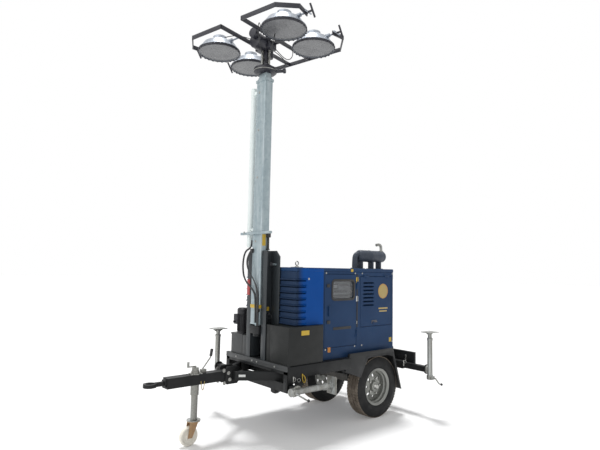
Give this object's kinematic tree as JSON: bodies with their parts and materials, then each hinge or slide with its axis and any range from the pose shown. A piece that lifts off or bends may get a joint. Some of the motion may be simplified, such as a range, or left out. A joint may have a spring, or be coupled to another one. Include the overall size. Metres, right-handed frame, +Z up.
{
  "type": "mobile light tower",
  "caption": "Towed light tower: single-axle trailer with a canopied generator, tilting telescopic mast, floodlights, jockey wheel and swing-down stabiliser jacks.",
  "frame": {"origin": "middle of the object's box at ground level", "axes": "+X to the rear, away from the towing eye; +Y to the trailer's right side; +Z up"},
  "size_m": [3.014, 1.872, 4.056],
  "materials": {
    "black_steel": "satin black paint",
    "blue_steel": "gloss blue paint",
    "zinc": "galvanised",
    "gold_zinc": "yellow passivated zinc",
    "aluminium": "spun",
    "lamp_glass": "prismatic",
    "window": "clear tinted",
    "tyre": "ribbed",
    "rim": "silver paint",
    "roller": "cream",
    "grey_steel": "grey paint",
    "engine": "engine",
    "dark_steel": "heat-dulled",
    "axle": "dark",
    "panel": "grey panel"
  },
  "bodies": {
    "chassis": {"axle": "axle", "mudguards": "black_steel", "chassis_frame": "black_steel", "front_deck": "black_steel", "rear_light_bar": "black_steel", "drawbar_yoke": "black_steel", "drawbar": "black_steel", "towing_eye": "black_steel", "handbrake": "black_steel", "jockey_sleeve": "zinc", "front_base_box": "black_steel", "front_panel": "blue_steel", "canopy_roof": "blue_steel", "canopy_frame": "blue_steel", "engine_generator": "engine", "control_panel": "panel", "muffler": "dark_steel", "lifting_eye": "blue_steel", "hydraulic_pack": "grey_steel", "mast_posts": "black_steel"},
    "wheel_left": {"tyre_left": "tyre", "rim_left": "rim"},
    "wheel_right": {"tyre_right": "tyre", "rim_right": "rim"},
    "jockey_leg": {"jockey_tube": "zinc"},
    "jockey_caster": {"jockey_fork": "gold_zinc"},
    "jockey_roller": {"jockey_wheel": "roller"},
    "control_door": {"control_door": "blue_steel", "control_window": "window"},
    "service_door_left": {"service_door_left": "blue_steel"},
    "service_door_right": {"service_door_right": "blue_steel"},
    "mast": {"mast_outer": "zinc", "cable_tube": "zinc"},
    "mast_stage_2": {"mast_section_2": "zinc"},
    "mast_stage_3": {"mast_section_3": "zinc"},
    "mast_stage_4": {"mast_section_4": "zinc"},
    "lamp_head": {"lamp_frame": "black_steel"},
    "floodlight_front_left": {"lamp_front_left": "aluminium", "lamp_glass_front_left": "lamp_glass"},
    "floodlight_front_right": {"lamp_front_right": "aluminium", "lamp_glass_front_right": "lamp_glass"},
    "floodlight_rear_left": {"lamp_rear_left": "aluminium", "lamp_glass_rear_left": "lamp_glass"},
    "floodlight_rear_right": {"lamp_rear_right": "aluminium", "lamp_glass_rear_right": "lamp_glass"},
    "outrigger_front_left": {"outrigger_front_left": "black_steel"},
    "jack_front_left": {"jack_front_left": "black_steel"},
    "jack_leg_front_left": {"jack_foot_front_left": "zinc"},
    "outrigger_front_right": {"outrigger_front_right": "black_steel"},
    "jack_front_right": {"jack_front_right": "black_steel"},
    "jack_leg_front_right": {"jack_foot_front_right": "zinc"},
    "outrigger_rear_left": {"outrigger_rear_left": "black_steel"},
    "jack_rear_left": {"jack_rear_left": "black_steel"},
    "jack_leg_rear_left": {"jack_foot_rear_left": "zinc"},
    "outrigger_rear_right": {"outrigger_rear_right": "black_steel"},
    "jack_rear_right": {"jack_rear_right": "black_steel"},
    "jack_leg_rear_right": {"jack_foot_rear_right": "zinc"}
  },
  "joints": [
    {"name": "wheel_left_spin", "type": "hinge", "parent": "chassis", "child": "wheel_left", "pos_m": [0.943, -0.3955, 0.325], "axis": [0, 1, 0], "continuous": true},
    {"name": "wheel_right_spin", "type": "hinge", "parent": "chassis", "child": "wheel_right", "pos_m": [0.943, 0.3955, 0.325], "axis": [0, 1, 0], "continuous": true},
    {"name": "jockey_lift", "type": "slide", "parent": "chassis", "child": "jockey_leg", "axis": [0, 0, 1], "range_m": [0, 0.18]},
    {"name": "jockey_swivel", "type": "hinge", "parent": "jockey_leg", "child": "jockey_caster", "pos_m": [-1.022, 0, 0.214], "axis": [0, 0, 1], "continuous": true},
    {"name": "jockey_spin", "type": "hinge", "parent": "jockey_caster", "child": "jockey_roller", "pos_m": [-1.067, 0, 0.085], "axis": [0, 1, 0], "continuous": true},
    {"name": "control_door_hinge", "type": "hinge", "parent": "chassis", "child": "control_door", "pos_m": [0.615, -0.463, 0.8], "axis": [0, 0, 1], "range_deg": [0, 90]},
    {"name": "service_door_left_hinge", "type": "hinge", "parent": "chassis", "child": "service_door_left", "pos_m": [0.932, -0.463, 1.522], "axis": [-1, 0, 0], "range_deg": [0, 90]},
    {"name": "service_door_right_hinge", "type": "hinge", "parent": "chassis", "child": "service_door_right", "pos_m": [0.932, 0.463, 1.522], "axis": [1, 0, 0], "range_deg": [0, 90]},
    {"name": "mast_tilt", "type": "hinge", "parent": "chassis", "child": "mast", "pos_m": [-0.262, 0, 1.63], "axis": [0, 1, 0], "range_deg": [0, 90]},
    {"name": "mast_extend", "type": "slide", "parent": "mast", "child": "mast_stage_2", "axis": [0, 0, 1], "range_m": [0, 1.65]},
    {"name": "mast_extend_3", "type": "slide", "parent": "mast_stage_2", "child": "mast_stage_3", "axis": [0, 0, 1], "range_m": [0, 1.65]},
    {"name": "mast_extend_4", "type": "slide", "parent": "mast_stage_3", "child": "mast_stage_4", "axis": [0, 0, 1], "range_m": [0, 1.65]},
    {"name": "head_turn", "type": "hinge", "parent": "mast_stage_4", "child": "lamp_head", "pos_m": [-0.332, 0, 3.622], "axis": [0, 0, 1], "range_deg": [-175, 175]},
    {"name": "floodlight_front_left_tilt", "type": "hinge", "parent": "lamp_head", "child": "floodlight_front_left", "pos_m": [-0.475, -0.48795, 3.972], "axis": [-0.2181, 0.9759, 0], "range_deg": [-80, 80]},
    {"name": "floodlight_front_right_tilt", "type": "hinge", "parent": "lamp_head", "child": "floodlight_front_right", "pos_m": [-0.66915, 0.38062, 3.972], "axis": [-0.2181, 0.9759, 0], "range_deg": [-80, 80]},
    {"name": "floodlight_rear_left_tilt", "type": "hinge", "parent": "lamp_head", "child": "floodlight_rear_left", "pos_m": [0.00515, -0.38062, 3.972], "axis": [-0.2181, 0.9759, 0], "range_deg": [-80, 80]},
    {"name": "floodlight_rear_right_tilt", "type": "hinge", "parent": "lamp_head", "child": "floodlight_rear_right", "pos_m": [-0.189, 0.48795, 3.972], "axis": [-0.2181, 0.9759, 0], "range_deg": [-80, 80]},
    {"name": "outrigger_front_left_slide", "type": "slide", "parent": "chassis", "child": "outrigger_front_left", "axis": [0, -1, 0], "range_m": [0, 0.18]},
    {"name": "jack_front_left_swing", "type": "hinge", "parent": "outrigger_front_left", "child": "jack_front_left", "pos_m": [-0.319, -0.632, 0.492], "axis": [0, 1, 0], "range_deg": [-90, 90]},
    {"name": "jack_front_left_screw", "type": "slide", "parent": "jack_front_left", "child": "jack_leg_front_left", "axis": [1, 0, 0], "range_m": [0, 0.26]},
    {"name": "outrigger_front_right_slide", "type": "slide", "parent": "chassis", "child": "outrigger_front_right", "axis": [0, 1, 0], "range_m": [-0.158, 0.022]},
    {"name": "jack_front_right_swing", "type": "hinge", "parent": "outrigger_front_right", "child": "jack_front_right", "pos_m": [-0.319, 0.79, 0.492], "axis": [0, 1, 0], "range_deg": [0, 180]},
    {"name": "jack_front_right_screw", "type": "slide", "parent": "jack_front_right", "child": "jack_leg_front_right", "axis": [0, 0, 1], "range_m": [0, 0.26]},
    {"name": "outrigger_rear_left_slide", "type": "slide", "parent": "chassis", "child": "outrigger_rear_left", "axis": [0, -1, 0], "range_m": [-0.18, 0]},
    {"name": "jack_rear_left_swing", "type": "hinge", "parent": "outrigger_rear_left", "child": "jack_rear_left", "pos_m": [1.423, -0.812, 0.508], "axis": [0, 1, 0], "range_deg": [0, 180]},
    {"name": "jack_rear_left_screw", "type": "slide", "parent": "jack_rear_left", "child": "jack_leg_rear_left", "axis": [0, 0, 1], "range_m": [0, 0.26]},
    {"name": "outrigger_rear_right_slide", "type": "slide", "parent": "chassis", "child": "outrigger_rear_right", "axis": [0, 1, 0], "range_m": [-0.18, 0]},
    {"name": "jack_rear_right_swing", "type": "hinge", "parent": "outrigger_rear_right", "child": "jack_rear_right", "pos_m": [1.423, 0.812, 0.508], "axis": [0, 1, 0], "range_deg": [0, 180]},
    {"name": "jack_rear_right_screw", "type": "slide", "parent": "jack_rear_right", "child": "jack_leg_rear_right", "axis": [0, 0, 1], "range_m": [0, 0.26]}
  ],
  "couplings": [
    {"joint": "mast_extend_3", "follows": "mast_extend", "ratio": 1},
    {"joint": "mast_extend_4", "follows": "mast_extend", "ratio": 1}
  ]
}
